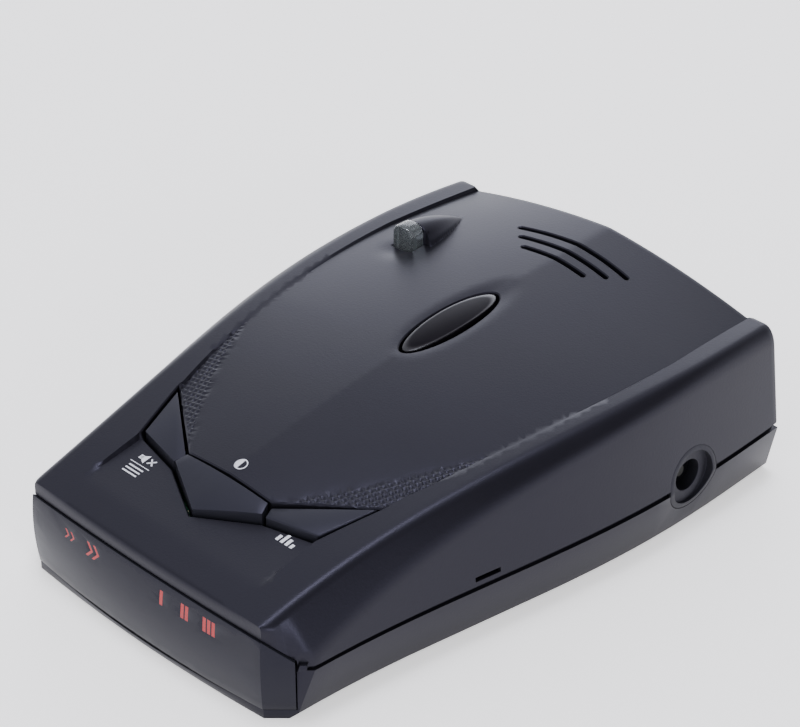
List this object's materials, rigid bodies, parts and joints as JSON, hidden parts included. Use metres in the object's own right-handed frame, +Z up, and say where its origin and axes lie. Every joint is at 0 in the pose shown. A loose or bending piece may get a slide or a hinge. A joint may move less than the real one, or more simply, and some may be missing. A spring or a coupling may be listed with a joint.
{
  "type": "radar detector",
  "caption": "Wedge-shaped dashboard or windshield radar detector with a smoked display, keys, an oval release button, a rear light pipe and a side power jack.",
  "frame": {"origin": "on the surface that the base rests on, under the middle of the object's overall box", "axes": "+Z up, +Y from the display towards the windshield end, +X towards the power jack's side"},
  "size_m": [0.0822, 0.1112, 0.034],
  "materials": {
    "case_black": "fine moulded grain",
    "trim_black": "smooth black plastic",
    "key_satin": "satin black",
    "smoked_lens": "smoked, polished",
    "icon_red": "backlit red",
    "clear_acrylic": "clear",
    "laser_lens": "dark red tinted, polished",
    "diffuser": "matt film",
    "circuit_board": "green solder mask",
    "cast_zinc": "die cast",
    "sheet_steel": "plain",
    "spring_steel": "drawn wire",
    "screw_steel": "blackened",
    "contact_metal": "nickel plated",
    "shaft_steel": "turned",
    "chip_black": "moulded epoxy",
    "plunger_white": "nylon",
    "led_red": "tinted",
    "can_aluminium": "plain",
    "magnet_grey": "ferrite",
    "cone_paper": "pressed paper",
    "label_silver": "blank silver film"
  },
  "bodies": {
    "case_body": {"upper_case": "case_black", "lower_case": "case_black", "jack_bezel": "trim_black", "power_jack": "trim_black", "bracket_guide": "trim_black", "spring_seat": "trim_black", "speaker_frame": "trim_black", "light_mask": "trim_black", "board_header": "trim_black", "volume_control": "trim_black", "key_switches": "trim_black", "board_spacers": "trim_black", "display_lens": "smoked_lens", "display_icons": "icon_red", "rear_light_pipe": "clear_acrylic", "windshield_lens": "laser_lens", "icon_film": "diffuser", "main_board": "circuit_board", "display_board": "circuit_board", "key_board": "circuit_board", "laser_board": "circuit_board", "radio_board": "circuit_board", "horn_antenna": "cast_zinc", "radio_shield": "sheet_steel", "crystal": "sheet_steel", "release_spring": "spring_steel", "case_screws": "screw_steel", "board_screws": "screw_steel", "jack_pin": "contact_metal", "jack_contact": "contact_metal", "processor": "chip_black", "voltage_regulator": "chip_black", "pipe_photodiode": "chip_black", "windshield_photodiode": "chip_black", "display_leds": "led_red", "capacitors": "can_aluminium", "speaker_magnet": "magnet_grey", "speaker_cone": "cone_paper", "base_label": "label_silver"},
    "left_key_body": {"left_key": "key_satin", "left_plunger": "plunger_white"},
    "centre_key_body": {"centre_key": "key_satin", "centre_plunger": "plunger_white"},
    "right_key_body": {"right_key": "key_satin", "right_plunger": "plunger_white"},
    "release_body": {"release_button": "key_satin", "latch_plate": "sheet_steel"},
    "thumbwheel_body": {"volume_wheel": "key_satin", "volume_shaft": "shaft_steel"}
  },
  "joints": [
    {"name": "left_key_press", "type": "slide", "parent": "case_body", "child": "left_key_body", "axis": [0, 0, -1], "range_m": [0, 0.0008], "stiffness_N_per_m": 400},
    {"name": "centre_key_press", "type": "slide", "parent": "case_body", "child": "centre_key_body", "axis": [0, 0, -1], "range_m": [0, 0.0008], "stiffness_N_per_m": 400},
    {"name": "right_key_press", "type": "slide", "parent": "case_body", "child": "right_key_body", "axis": [0, 0, -1], "range_m": [0, 0.0008], "stiffness_N_per_m": 400},
    {"name": "release_press", "type": "slide", "parent": "case_body", "child": "release_body", "axis": [0, 0, -1], "range_m": [0, 0.002], "stiffness_N_per_m": 500, "deforming": ["release_spring"]},
    {"name": "thumbwheel_turn", "type": "hinge", "parent": "case_body", "child": "thumbwheel_body", "pos_m": [-0.0303, -0.00543, 0.0107], "axis": [0, 0, 1], "range_deg": [0, 270]}
  ]
}
